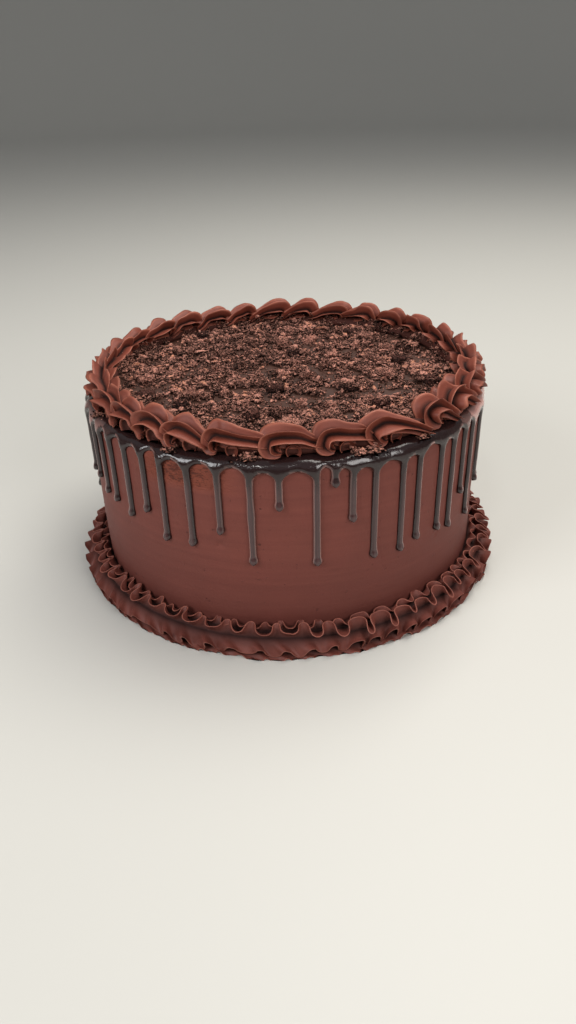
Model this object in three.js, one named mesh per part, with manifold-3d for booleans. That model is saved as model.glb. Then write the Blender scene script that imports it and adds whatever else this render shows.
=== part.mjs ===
import * as THREE from "three";
import { mergeVertices } from "three/addons/utils/BufferGeometryUtils.js";
import Module from "manifold-3d";

// A whole chocolate drip cake: a tall frosted cake, a poured ganache lid whose drips run down the
// wall, cake crumbs and chunks scattered on the lid, a ring of piped shells round the rim and a
// ruffled piped strand round the foot. Millimetres, +Z up, the origin at the centre of the flat
// base and the front towards -Y. Angles run from the front and grow towards +X.

// Driving dimensions
const CAKE_RADIUS = 104.5; // an 8-inch cake under about 3 mm of frosting
const CAKE_HEIGHT = 97;
const EDGE_ROUND = 4; // rounding of the frosted top edge
const GANACHE = 2; // thickness of the poured lid
const GAP = 0.3; // between pieces that touch
const SEGMENTS = 60; // round the cake
const LID_TOP = CAKE_HEIGHT + GAP + GANACHE;

// Band and drips of ganache
const BAND_DEPTH = 7; // how far the lid laps down the wall
const DRIP_HALF_WIDTH = 1.8;
const DRIP_BULB = 2.2; // half width of the bead at a drip's end
const DRIP_THICK = 2;
const DRIP_FLARE = 4.6; // half width where a drip leaves the band
// Front drips: angle in degrees and length below the rim, one for each that hangs there
const FRONT_DRIPS = [
  [-74.5, 40], [-65, 36], [-59, 40], [-53, 40], [-46, 43], [-39, 36], [-33, 48], [-25, 47],
  [-17, 38], [-9, 53], [-2, 24], [7, 54], [11.5, 14], [16, 33], [22, 55], [30, 56], [35.3, 53],
  [43.5, 54], [49, 57], [55, 43], [61, 60.5], [72, 51],
];
const BACK_DRIPS = 25;
const DRIP_SEED = 7;

// Piped shells round the rim
const SHELLS = 30;
const SHELL_RING = 95.5; // radius of the strand's centre line
const SHELL_PITCH = 20; // from shell to shell, where the strand below fits exactly
const SHELL_RIDGES = [-78, -26, 25, 76]; // of the strand's star section, in degrees off its crest
const SHELL_GROOVE = 0.55; // a groove's bottom, as a share of the section's half size
const SHELL_SEED = 3;
// Where the front shells' left edges stand, in degrees; the others follow round the back evenly
const FRONT_SHELLS = [-55.3, -44.4, -33.8, -22.4, -7, 6.1, 19.9, 37.9, 48.7];
// One shell's strand, station by station: the turn of its section in degrees (180 points back along
// the ring, 90 up), the section's hinge along the ring and above the lid, how far its middle stands
// off the hinge, its half sizes off the hinge and sideways, its shift towards the rim, and how far
// it reaches behind the hinge
const STRAND = [
  { turn: 255, along: 9, lift: 4.7, off: 1.2, deep: 3.6, wide: 4.2, shift: 5, behind: 0.5 },
  { turn: 200, along: 9.2, lift: 4.8, off: 2.3, deep: 6.3, wide: 6.8, shift: 2.9, behind: -0.4 },
  { turn: 150, along: 9.3, lift: 4.7, off: 2.6, deep: 7.1, wide: 8.6, shift: 1.1, behind: -0.4 },
  { turn: 94, along: 10.6, lift: 4.6, off: 2.4, deep: 7, wide: 9.3, shift: 0, behind: 4.6 },
  { turn: 83, along: 27, lift: 4.5, off: 0.4, deep: 3.3, wide: 4, shift: 0.6, behind: 4.5 },
];
const TAIL = [10, 24]; // where along the strand its tail starts and has its full swing
const TAIL_SWING = 4.2; // sideways, where a tail swings fully
const TAIL_DROP = 2.2; // and downwards

// Ruffled strand round the foot
const FOOT_OUTER = 119.6; // outer radius of its lower ruffle
const FOOT_HEIGHT = 15;
const FOOT_WAVES = 44;
const WAVE_STEPS = 4; // sections to a wave

// Crumbs fused to the lid, and the largest chunks, which lie on it
const CRUMBS = 62;
const CRUMB_FIELD = 80; // radius that the crumbs cover
const CRUMB_SIZE = [3, 5.4]; // smallest and largest half size
const CRUMB_SEED = 11;
// Chunks: x, y and half sizes across, along and up, with the turn about Z in degrees
const CHUNKS = [
  { at: [-71, -27], half: [6.5, 3.4, 1.7], turn: 20 },
  { at: [-51, -44.5], half: [4.4, 4, 3.2], turn: 50 },
  { at: [-4.5, -27], half: [4.8, 4.2, 3], turn: -15 },
  { at: [-16, -61], half: [6, 4.6, 3.3], turn: 10 },
  { at: [5.5, 26], half: [4.9, 4.6, 3.5], turn: 30 },
  { at: [41, 65], half: [6.4, 4.4, 1.9], turn: 12 },
  { at: [64.5, 11.5], half: [5.4, 4.6, 3.4], turn: -25 },
  { at: [75.5, -24], half: [6, 4.4, 3.5], turn: 35 },
  { at: [31.5, -27], half: [6.2, 4, 2.3], turn: -5 },
  { at: [46, -50.5], half: [5.2, 4.4, 3.2], turn: 15 },
  { at: [69, 33], half: [5.6, 5, 3.3], turn: -40 },
  { at: [-48.5, 64], half: [4.6, 4, 3], turn: 25 },
];
const CHUNK_CLEAR = 1.5; // bare lid left round a chunk
const CHUNK_SEED = 5;

const FROSTING = new THREE.MeshStandardMaterial({ color: 0x6f3f36, roughness: 0.62 });
const PIPING = new THREE.MeshStandardMaterial({ color: 0x8a5244, roughness: 0.55 });
const FOOT_PIPING = new THREE.MeshStandardMaterial({ color: 0x553430, roughness: 0.6 });
const GLAZE = new THREE.MeshStandardMaterial({ color: 0x352827, roughness: 0.22 });
const CRUMB = new THREE.MeshStandardMaterial({ color: 0x5e4036, roughness: 0.85 });

const { clamp, degToRad, lerp } = THREE.MathUtils;
const wasm = await Module();
wasm.setup();

// Repeatable random numbers from 0 to 1
function randomFrom(seed) {
  let state = seed;
  return () => {
    state = (state * 1664525 + 1013904223) % 4294967296;
    return state / 4294967296;
  };
}

// The point at an angle round the cake, a radius and a height
function around(angle, radius, height) {
  const turn = degToRad(angle);
  return new THREE.Vector3(radius * Math.sin(turn), -radius * Math.cos(turn), height);
}

// A closed solid from points and triangles; triangles that collapsed are dropped, and all are
// turned over if they faced inwards
function solidFrom(points, triangles) {
  const loose = new THREE.BufferGeometry().setFromPoints(points);
  loose.setIndex(triangles);
  const merged = mergeVertices(loose, 1e-3);
  const kept = [];
  const index = merged.index.array;
  for (let i = 0; i < index.length; i += 3) {
    const [a, b, c] = [index[i], index[i + 1], index[i + 2]];
    if (a !== b && b !== c && c !== a) kept.push(a, b, c);
  }
  const vertices = merged.attributes.position.array;
  const make = (triVerts) =>
    new wasm.Manifold(
      new wasm.Mesh({ numProp: 3, vertProperties: vertices, triVerts: new Uint32Array(triVerts) }),
    );
  const made = make(kept);
  return made.volume() > 0 ? made : make(kept.reverse());
}

// A closed solid from a three.js geometry, after it is moved by a matrix
function solidOf(geometry, matrix = new THREE.Matrix4()) {
  const moved = geometry.clone().applyMatrix4(matrix);
  moved.deleteAttribute("normal");
  moved.deleteAttribute("uv");
  const merged = mergeVertices(moved, 1e-3);
  const place = merged.attributes.position;
  const points = [];
  for (let i = 0; i < place.count; i++) points.push(new THREE.Vector3().fromBufferAttribute(place, i));
  return solidFrom(points, Array.from(merged.index.array));
}

// A skin over a row of section loops of equal length, closed by a fan at each end, or joined
// end to end as a ring
function loft(loops, ring = false) {
  const size = loops[0].length;
  const points = loops.flat();
  const triangles = [];
  const strips = ring ? loops.length : loops.length - 1;
  for (let i = 0; i < strips; i++)
    for (let j = 0; j < size; j++) {
      const next = (i + 1) % loops.length;
      const [a, b] = [i * size + j, i * size + ((j + 1) % size)];
      const [c, d] = [next * size + j, next * size + ((j + 1) % size)];
      triangles.push(a, b, d, a, d, c);
    }
  if (!ring)
    for (const [start, step] of [[0, -1], [(loops.length - 1) * size, 1]]) {
      const hub = points.length;
      const loop = points.slice(start, start + size);
      points.push(loop.reduce((sum, p) => sum.add(p), new THREE.Vector3()).divideScalar(size));
      for (let j = 0; j < size; j++) {
        const [a, b] = [start + j, start + ((j + 1) % size)];
        triangles.push(hub, ...(step > 0 ? [a, b] : [b, a]));
      }
    }
  return solidFrom(points, triangles);
}

// A profile of [radius, height] pairs turned about the cake's axis
function turned(profile) {
  const points = profile.map(([radius, height]) => new THREE.Vector2(radius, height));
  return new THREE.LatheGeometry(points, SEGMENTS).rotateX(Math.PI / 2);
}

// Points of a quarter round from the wall up to the top, about an inner centre
function shoulder(radius, height, round, steps) {
  return Array.from({ length: steps + 1 }, (_, i) => {
    const turn = (i / steps) * (Math.PI / 2);
    return [radius - round + round * Math.cos(turn), height - round + round * Math.sin(turn)];
  });
}

function cakeBody() {
  return solidOf(
    turned([
      [0, 0],
      [CAKE_RADIUS, 0],
      ...shoulder(CAKE_RADIUS, CAKE_HEIGHT, EDGE_ROUND, 3),
      [0, CAKE_HEIGHT],
    ]),
  );
}

// The poured lid: it follows the cake's top and edge a gap away, and laps over the rim
function lid() {
  const inner = CAKE_RADIUS + GAP;
  const outer = inner + GANACHE;
  const edge = LID_TOP - BAND_DEPTH;
  return solidOf(
    turned([
      [0, CAKE_HEIGHT + GAP],
      ...shoulder(inner, CAKE_HEIGHT + GAP, EDGE_ROUND, 2).reverse(),
      [inner, edge],
      [outer, edge + GANACHE],
      ...shoulder(outer, LID_TOP, EDGE_ROUND + GANACHE, 3).slice(1),
      [0, LID_TOP],
    ]),
  );
}

// The drips' angles and lengths: those seen at the front, and more round the back
function dripTable() {
  const random = randomFrom(DRIP_SEED);
  const first = FRONT_DRIPS[FRONT_DRIPS.length - 1][0];
  const last = FRONT_DRIPS[0][0] + 360;
  const pitch = (last - first) / (BACK_DRIPS + 1);
  const back = Array.from({ length: BACK_DRIPS }, (_, i) => [
    first + pitch * (i + 1 + (random() - 0.5) * 0.4),
    lerp(26, 58, random()),
  ]);
  return [...FRONT_DRIPS, ...back];
}

// One drip: a flat-backed round run that leaves the band as a flare and ends in a bead.
// Its top end is inside the band.
function drip(angle, length) {
  const bead = Math.max(length, BAND_DEPTH + 6);
  const rows = [
    [BAND_DEPTH - 1.5, DRIP_FLARE, 0.4],
    [BAND_DEPTH + 4, DRIP_HALF_WIDTH, 0.9],
    [bead - 2.2, DRIP_BULB, 1.15],
    [bead, DRIP_BULB * 0.4, 0.4],
  ];
  const bow = [-1, -0.6, 0.6, 1];
  const wall = CAKE_RADIUS + GAP;
  const loops = rows.map(([down, half, thick]) =>
    bow.map((share) => {
      const swing = (share * half * 180) / (Math.PI * wall);
      const out = Math.abs(share) < 1 ? DRIP_THICK * thick : 0;
      return around(angle + swing, wall + out, LID_TOP - down);
    }),
  );
  return loft(loops);
}

// Crumbs spread evenly over the lid, clear of the chunks, each half sunk in it
function crumbs() {
  const random = randomFrom(CRUMB_SEED);
  const golden = 180 * (3 - Math.sqrt(5));
  const made = [];
  for (let i = 0; i < CRUMBS; i++) {
    const half = lerp(...CRUMB_SIZE, random() ** 1.5);
    const radius = CRUMB_FIELD * Math.sqrt((i + 0.5) / CRUMBS) + (random() - 0.5) * 4 - half / 2;
    const place = around(golden * i + (random() - 0.5) * 8, Math.max(radius, 1), LID_TOP + half * 0.15);
    const shape = rock(half, random, 0.3);
    const squash = new THREE.Matrix4().makeScale(1, lerp(0.6, 0.95, random()), lerp(0.55, 0.85, random()));
    const turn = new THREE.Matrix4().makeRotationZ(random() * Math.PI);
    const clear = CHUNKS.every(({ at, half: size }) => {
      const away = Math.hypot(place.x - at[0], place.y - at[1]);
      return away > half * (1 + 0.3) + Math.max(size[0], size[1]) * 1.15 + CHUNK_CLEAR;
    });
    if (!clear) continue;
    shape.applyMatrix4(new THREE.Matrix4().setPosition(place).multiply(turn).multiply(squash));
    flatten(shape, LID_TOP - GANACHE / 2);
    made.push(solidOf(shape));
  }
  return made;
}

// An uneven lump: a twenty-sided ball whose corners are pushed in and out
function rock(size, random, rough) {
  const ball = new THREE.IcosahedronGeometry(size, 0);
  ball.deleteAttribute("normal");
  ball.deleteAttribute("uv");
  const lump = mergeVertices(ball, 1e-3);
  const place = lump.attributes.position;
  for (let i = 0; i < place.count; i++) {
    const push = 1 + (random() * 2 - 1) * rough;
    place.setXYZ(i, place.getX(i) * push, place.getY(i) * push, place.getZ(i) * push);
  }
  return lump;
}

// Brings every corner below a height up to it, which gives a lump a flat underside
function flatten(lump, floor) {
  const place = lump.attributes.position;
  for (let i = 0; i < place.count; i++) place.setZ(i, Math.max(place.getZ(i), floor));
}

function ganache() {
  const pieces = [lid(), ...dripTable().map((row) => drip(...row)), ...crumbs()];
  return wasm.Manifold.union(pieces);
}

// One of the largest chunks, standing on the lid on a flattened underside
function chunk({ at, half, turn }, random) {
  const lump = rock(1, random, 0.16);
  lump.applyMatrix4(new THREE.Matrix4().makeRotationX(random()));
  lump.applyMatrix4(new THREE.Matrix4().makeScale(...half));
  const sunk = half[2] * 0.62; // how far below its middle the underside is
  flatten(lump, -sunk);
  lump.applyMatrix4(new THREE.Matrix4().makeRotationZ(degToRad(turn)));
  lump.applyMatrix4(new THREE.Matrix4().makeTranslation(...at, LID_TOP + GAP + sunk));
  return solidOf(lump);
}

// The strand's star section, as [angle from the crest, share of the half size]: ridges with
// grooves between them
function starSection() {
  const points = [];
  SHELL_RIDGES.forEach((ridge, i) => {
    if (i) points.push([(SHELL_RIDGES[i - 1] + ridge) / 2, SHELL_GROOVE]);
    points.push([ridge, 1]);
  });
  return points;
}

// How far a shell's tail swings: outwards on the right side, a little inwards at the back
function swingOf(angle) {
  const turn = THREE.MathUtils.euclideanModulo(angle, 360);
  const between = (rise, fall, ease) => clamp((turn - rise) / ease, 0, 1) * clamp((fall - turn) / ease, 0, 1);
  return between(16, 125, 15) - 0.4 * between(150, 222, 13);
}

// One shell. Its strand starts on the lid as a foot at the rim, turns back, up and over a hinge
// line and runs on as a falling tail as far as the next shell, so that its ridges are nested hooks.
function shell(leftEdge, pitch, size) {
  const section = starSection();
  const swing = swingOf(leftEdge);
  const loops = STRAND.map((station) => {
    const tail = clamp((station.along - TAIL[0]) / (TAIL[1] - TAIL[0]), 0, 1);
    const along = station.along * size + tail * (pitch - SHELL_PITCH);
    const lift = station.lift * size - tail * TAIL_DROP * Math.abs(swing);
    const shift = station.shift + tail * TAIL_SWING * swing;
    const upright = degToRad(station.turn);
    const place = (out, side) => {
      const step = along + Math.cos(upright) * out;
      const height = Math.max(lift + Math.sin(upright) * out, 0);
      const turn = (step * 180) / (Math.PI * SHELL_RING);
      return around(leftEdge + turn, SHELL_RING + shift + side, LID_TOP + GAP + height);
    };
    const [deep, wide] = [station.deep * size, station.wide * size];
    return [
      place(-station.behind, -0.7 * wide),
      ...section.map(([angle, far]) => {
        const lean = degToRad(angle);
        const out = station.off + far * deep * Math.cos(lean);
        return place(Math.max(out, -station.behind), far * wide * Math.sin(lean));
      }),
      place(-station.behind, 0.6 * wide),
    ];
  });
  return loft(loops);
}

function shellAngles() {
  const first = FRONT_SHELLS[FRONT_SHELLS.length - 1];
  const rest = SHELLS - FRONT_SHELLS.length;
  const pitch = (FRONT_SHELLS[0] + 360 - first) / (rest + 1);
  const random = randomFrom(SHELL_SEED);
  const back = Array.from({ length: rest }, (_, i) => first + pitch * (i + 1 + (random() - 0.5) * 0.16));
  return [...FRONT_SHELLS, ...back];
}

function topBorder() {
  const random = randomFrom(SHELL_SEED);
  const angles = shellAngles();
  return wasm.Manifold.union(
    angles.map((angle, i) => {
      const next = i + 1 < SHELLS ? angles[i + 1] : angles[0] + 360;
      const right = Math.sin(degToRad(angle));
      return shell(angle, degToRad(next - angle) * SHELL_RING, 1 + 0.03 * right + (random() - 0.5) * 0.06);
    }),
  );
}

// The foot strand: an upper ruffle that loops out and back, a smooth valley and a pleated
// lower ruffle, all leaning the way they were piped
function footBorder() {
  const steps = FOOT_WAVES * WAVE_STEPS;
  const wall = CAKE_RADIUS + GAP;
  const loops = Array.from({ length: steps }, (_, i) => {
    const angle = (i * 360) / steps;
    const wave = Math.cos((i / WAVE_STEPS) * 2 * Math.PI);
    const sway = Math.sin((i / WAVE_STEPS) * 2 * Math.PI);
    const lean = 0.9; // degrees that a fold leans
    return [
      around(angle, wall, 0),
      around(angle, wall, FOOT_HEIGHT - 4),
      around(angle + lean * sway, wall + 2.6 + 0.8 * wave, FOOT_HEIGHT + 0.6 * wave),
      around(angle + lean * sway, wall + 6.4 + 1.9 * wave, FOOT_HEIGHT - 2.2 + 1.2 * wave),
      around(angle, wall + 7.6, FOOT_HEIGHT - 6.5),
      around(angle - lean * sway, FOOT_OUTER - 2.6 - 1.2 * wave, FOOT_HEIGHT - 8.2 - wave),
      around(angle - lean * sway, FOOT_OUTER - 1.2 - 1.2 * wave, 2.2 - 0.6 * wave),
      around(angle, FOOT_OUTER - 5, 0),
    ];
  });
  return loft(loops, true);
}

function meshOf(name, solid, material) {
  const { vertProperties, triVerts } = solid.getMesh();
  const geometry = new THREE.BufferGeometry();
  geometry.setAttribute("position", new THREE.BufferAttribute(vertProperties, 3));
  geometry.setIndex(new THREE.BufferAttribute(triVerts, 1));
  geometry.computeVertexNormals();
  const mesh = new THREE.Mesh(geometry, material);
  mesh.name = name;
  return mesh;
}

const cake = new THREE.Group();
cake.add(meshOf("cake", cakeBody(), FROSTING));
cake.add(meshOf("ganache", ganache(), GLAZE));
cake.add(meshOf("top_border", topBorder(), PIPING));
cake.add(meshOf("foot_border", footBorder(), FOOT_PIPING));
const chunkRandom = randomFrom(CHUNK_SEED);
CHUNKS.forEach((row, i) => {
  const name = "chunk_" + String(i + 1).padStart(2, "0");
  cake.add(meshOf(name, chunk(row, chunkRandom), CRUMB));
});

export default cake;
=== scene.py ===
"""Looks of a chocolate drip cake.

A smooth buttercream wall, a poured ganache lid with drips, cake crumbs and chunks on it, a ring
of piped shells round the rim and a ruffled piped strand round the foot. Metres, +Z up, the front
towards -Y; angles run from the front and grow towards +X. Sizes in millimetres carry MM. The
numbers that end a call of noise or lattice are its seed, any number of its own for each place.
"""
import math
import bpy
import numpy as np
from mathutils import Matrix, Vector


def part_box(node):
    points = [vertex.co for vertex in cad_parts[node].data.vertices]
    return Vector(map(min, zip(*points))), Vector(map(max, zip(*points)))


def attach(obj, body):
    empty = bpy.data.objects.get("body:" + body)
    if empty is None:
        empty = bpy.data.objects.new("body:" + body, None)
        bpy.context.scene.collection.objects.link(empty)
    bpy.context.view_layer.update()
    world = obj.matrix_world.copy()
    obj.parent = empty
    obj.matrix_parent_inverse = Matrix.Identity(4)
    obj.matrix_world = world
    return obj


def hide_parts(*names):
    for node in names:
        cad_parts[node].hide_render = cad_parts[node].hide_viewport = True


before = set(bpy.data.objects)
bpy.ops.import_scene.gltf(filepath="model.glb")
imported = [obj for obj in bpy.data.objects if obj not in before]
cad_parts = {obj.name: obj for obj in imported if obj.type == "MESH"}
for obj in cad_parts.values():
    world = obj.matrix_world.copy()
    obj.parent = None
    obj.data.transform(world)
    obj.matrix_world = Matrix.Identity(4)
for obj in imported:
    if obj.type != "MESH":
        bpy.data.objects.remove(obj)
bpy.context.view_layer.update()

MM = 0.001
TURN = 2 * math.pi
BODY = "root"

# Sizes taken from the frame
WALL_RADIUS, _, CAKE_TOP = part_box("cake")[1]
CHUNKS = sorted(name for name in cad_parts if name.startswith("chunk_"))
CHUNK_BOXES = np.array([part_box(name) for name in CHUNKS])  # chunk, low or high corner, axis
LID_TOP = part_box(CHUNKS[0])[0].z - 0.3 * MM
FOOT_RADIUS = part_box("foot_border")[1].x

# Ganache: the drips at the front as (angle, length below the rim in mm); more follow behind
FRONT_DRIPS = [
    (-74.5, 40), (-65, 36), (-59, 40), (-53, 40), (-46, 43), (-39, 36), (-33, 48), (-25, 47),
    (-17, 38), (-9, 53), (-2, 24), (7, 54), (11.5, 14), (16, 33), (22, 55), (30, 56), (35.3, 53),
    (43.5, 54), (49, 57), (55, 43), (61, 60.5), (72, 51),
]
BACK_DRIPS = 25
DRIP_SEED = 7
EDGE_ROUND = 4 * MM
DRIP_HALF = 1.75 * MM
EMBED = 0.15 * MM  # how far the ganache reaches into the frosting

# Shells round the rim
SHELLS = 30
FRONT_SHELLS = [-55.3, -44.4, -33.8, -22.4, -7.0, 6.1, 19.9, 37.9, 48.7]  # left edges, degrees
SHELL_RING = 95.5 * MM
SHELL_BASE = LID_TOP + 0.05 * MM
SHELL_SEED = 3

# Crumbs
CRUMB_COUNT = 62
CRUMB_FIELD = 80 * MM
CRUMB_SIZE = (3 * MM, 5.4 * MM)
CRUMB_REACH = 92.5 * MM  # how far from the middle the small crumbs lie
CRUMB_SEED = 11
CRUMB_SINK = 0.6 * MM  # how far crumbs may sink into the lid
NOISE_STEP = 13.7 * MM


def held(value):
    """A value held between 0 and 1."""
    return np.clip(value, 0, 1)


def dome(value):
    """Height of a ball of radius 1 at this distance from its middle."""
    return np.sqrt(np.maximum(1 - value**2, 0))


def full_turn(count):
    """Angles evenly all the way round."""
    return np.linspace(0, TURN, count, endpoint=False)


def random_from(seed):
    """Repeatable random numbers from 0 to 1, by a linear congruential rule."""
    state = seed
    while True:
        state = (state * 1664525 + 1013904223) % 4294967296
        yield state / 4294967296


# Mesh making


def weld(points, faces):
    """Joins points closer than a micrometre and drops the triangles that collapse."""
    keys = np.round(points * 1e6).astype(np.int64)
    _, first, index = np.unique(keys, axis=0, return_index=True, return_inverse=True)
    faces = index.reshape(-1)[faces]
    a, b, c = faces.T
    return first, faces[(a != b) & (b != c) & (c != a)]


def grid_faces(rows, columns, close_rows=False, close_columns=False):
    """Triangles of a grid of points, row after row; closing joins its last line to its first."""
    r = np.arange(rows if close_rows else rows - 1)
    c = np.arange(columns if close_columns else columns - 1)
    r, c = (way.ravel() for way in np.meshgrid(r, c, indexing="ij"))
    r2, c2 = (r + 1) % rows, (c + 1) % columns
    a, b = r * columns + c, r * columns + c2
    d, e = r2 * columns + c, r2 * columns + c2
    return np.concatenate([np.stack([a, b, e], 1), np.stack([a, e, d], 1)])


def repeat_faces(faces, count, points):
    """The triangles of a part that comes count times, each time with this many points."""
    return (faces[None] + (np.arange(count) * points)[:, None, None]).reshape(-1, 3)


def add(name, data):
    """A new object of the scene."""
    made = bpy.data.objects.new(name, data)
    bpy.context.scene.collection.objects.link(made)
    return made


def new_piece(name, points, faces, material, marks, replaces=(), smooth=True):
    """A piece from point and triangle arrays, welded, turned outwards and riding on the cake. Its
    marks are values for each point that its material reads."""
    kept, faces = weld(points, faces)
    points = points[kept]
    corner = points[faces]
    volume = np.einsum("ij,ij->i", corner[:, 0], np.cross(corner[:, 1], corner[:, 2])).sum()
    if volume < 0:
        faces = faces[:, ::-1]
    mesh = bpy.data.meshes.new(name)
    mesh.vertices.add(len(points))
    mesh.vertices.foreach_set("co", points.astype(np.float32).ravel())
    mesh.loops.add(faces.size)
    mesh.loops.foreach_set("vertex_index", faces.astype(np.int32).ravel())
    mesh.polygons.add(len(faces))
    mesh.polygons.foreach_set("loop_start", np.arange(0, faces.size, 3, dtype=np.int32))
    mesh.update(calc_edges=True)
    mesh.polygons.foreach_set("use_smooth", np.full(len(faces), smooth))
    for key, values in marks.items():
        layer = mesh.attributes.new(key, "FLOAT", "POINT")
        layer.data.foreach_set("value", values[kept].astype(np.float32))
    mesh.materials.append(material)
    piece = add(name, mesh)
    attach(piece, BODY)
    if replaces:
        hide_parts(*replaces)


def around(angle, radius, height):
    """Points at angles in radians from the front, radii and heights."""
    return np.stack([radius * np.sin(angle), -radius * np.cos(angle), height + 0 * angle], -1)


def on_circle(turn):
    """Points of the unit circle: noise that is read there closes on itself."""
    return np.stack([np.cos(turn), np.sin(turn), 0 * turn], 1)


def lattice(x, y, z, seed):
    """Repeatable numbers from 0 to 1 at whole-number places, by mixing the bits of all four."""
    n = (x * 73856093 ^ y * 19349663 ^ z * 83492791 ^ seed * 2654435761) & 0xFFFFFFFF
    n = ((n ^ (n >> 16)) * 0x45D9F3B) & 0xFFFFFFFF
    n = ((n ^ (n >> 16)) * 0x45D9F3B) & 0xFFFFFFFF
    return (n ^ (n >> 16)) / 4294967296


def noise(points, cell, seed):
    """Smooth noise from -1 to 1: random values at the corners of cells, blended between them."""
    place = points / cell
    corner = np.floor(place).astype(np.int64)
    ease = place - corner
    ease = ease * ease * (3 - 2 * ease)
    total = 0
    for step in np.ndindex(2, 2, 2):
        share = np.prod(np.where(step, ease, 1 - ease), -1)
        total = total + share * lattice(*np.moveaxis(corner + step, -1, 0), seed)
    return total * 2 - 1


def rough_noise(points, cell, seed, octaves=3):
    """Noise with finer noise on it, each octave half the size and half the height of the last."""
    return sum(noise(points, cell / 2**k, seed + k) / 2**k for k in range(octaves))


def smooth_through(at, values, where):
    """Smooth curves through rows of values at given places: cubic Hermite, with slopes from the
    neighbours."""
    slope = np.gradient(values, at, axis=0)
    k = np.clip(np.searchsorted(at, where, side="right") - 1, 0, len(at) - 2)
    gap = (at[k + 1] - at[k])[:, None]
    u = (where - at[k])[:, None] / gap
    start = values[k] * (2 * u**3 - 3 * u**2 + 1) + slope[k] * gap * (u**3 - 2 * u**2 + u)
    return start + values[k + 1] * (3 * u**2 - 2 * u**3) + slope[k + 1] * gap * (u**3 - u**2)


# Materials


def new_material(name, roughness, **sockets):
    """A material with a Principled shader, and its node tree."""
    material = bpy.data.materials.new(name)
    material.use_nodes = True
    tree = material.node_tree
    shader = tree.nodes["Principled BSDF"]
    shader.inputs["Roughness"].default_value = roughness
    for key, value in sockets.items():
        shader.inputs[key.replace("_", " ")].default_value = value
    return material, tree


def node(tree, kind, values=None, **settings):
    """A new node: settings are its own properties, values what its sockets hold or are fed by."""
    made = tree.nodes.new(kind)
    for key, value in settings.items():
        setattr(made, key, value)
    for key, value in (values or {}).items():
        if isinstance(value, bpy.types.NodeSocket):
            tree.links.new(value, made.inputs[key])
        else:
            made.inputs[key].default_value = value
    return made


def coordinates(tree, scale=(1, 1, 1)):
    """The piece's Object coordinates, scaled."""
    place = node(tree, "ShaderNodeTexCoord").outputs["Object"]
    return node(tree, "ShaderNodeMapping", {"Vector": place, "Scale": scale}).outputs["Vector"]


def pattern(tree, vector, scale, detail, rough=0.55):
    """Noise from 0 to 1 on a vector."""
    values = {"Vector": vector, "Scale": scale, "Detail": detail, "Roughness": rough}
    return node(tree, "ShaderNodeTexNoise", values).outputs["Fac"]


def stretch(tree, value, low, high, to_low=0.0, to_high=1.0):
    """A value moved from one range to another, held inside it."""
    values = dict(enumerate((value, low, high, to_low, to_high)))
    return node(tree, "ShaderNodeMapRange", values).outputs["Result"]


def layered(tree, colour, *layers):
    """A colour with others laid over it one by one, each by its share."""
    for share, over in layers:
        values = {0: share, 6: colour, 7: over}
        colour = node(tree, "ShaderNodeMix", values, data_type="RGBA").outputs[2]
    return colour


def times(tree, first, second):
    return node(tree, "ShaderNodeMath", {0: first, 1: second}, operation="MULTIPLY").outputs[0]


def plus(tree, first, second):
    return node(tree, "ShaderNodeMath", {0: first, 1: second}, operation="ADD").outputs[0]


def attribute(tree, name):
    return node(tree, "ShaderNodeAttribute", attribute_name=name).outputs["Fac"]


def dress(tree, colour, height, distance, strength=1.0, dull=None):
    """Feeds the shader its colour, its relief and, where it varies, its roughness."""
    values = {"Height": height, "Distance": distance, "Strength": strength}
    normal = node(tree, "ShaderNodeBump", values).outputs["Normal"]
    inputs = tree.nodes["Principled BSDF"].inputs
    tree.links.new(colour, inputs["Base Color"])
    tree.links.new(normal, inputs["Normal"])
    if dull is not None:
        tree.links.new(dull, inputs["Roughness"])


def rgb(red, green, blue):
    """A colour given as it looks on screen, 0 to 255, as the shader's linear colour."""
    screen = np.array([red, green, blue]) / 255
    linear = np.where(screen <= 0.04045, screen / 12.92, ((screen + 0.055) / 1.055) ** 2.4)
    return (*linear, 1.0)


def buttercream_grain():
    """Node group: the mottling and grain of buttercream, from coordinates and a scale."""
    group = bpy.data.node_groups.new("buttercream_grain", "ShaderNodeTree")
    sockets = [("Vector", "INPUT", "Vector"), ("Grain", "INPUT", "Float"),
               ("Mottle", "OUTPUT", "Float"), ("Height", "OUTPUT", "Float")]
    for name, way, kind in sockets:
        group.interface.new_socket(name, in_out=way, socket_type="NodeSocket" + kind)
    given = node(group, "NodeGroupInput").outputs
    mottle = stretch(group, pattern(group, given["Vector"], 55.0, 4.0), 0.3, 0.7)
    fine = pattern(group, given["Vector"], given["Grain"], 3.0, 0.5)
    node(group, "NodeGroupOutput", {"Mottle": mottle, "Height": fine})
    return group


GRAIN = buttercream_grain()


def buttercream(tree, scale):
    """Mottle and height of the grain group."""
    values = {"Vector": coordinates(tree), "Grain": scale}
    return node(tree, "ShaderNodeGroup", values, node_tree=GRAIN).outputs


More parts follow.
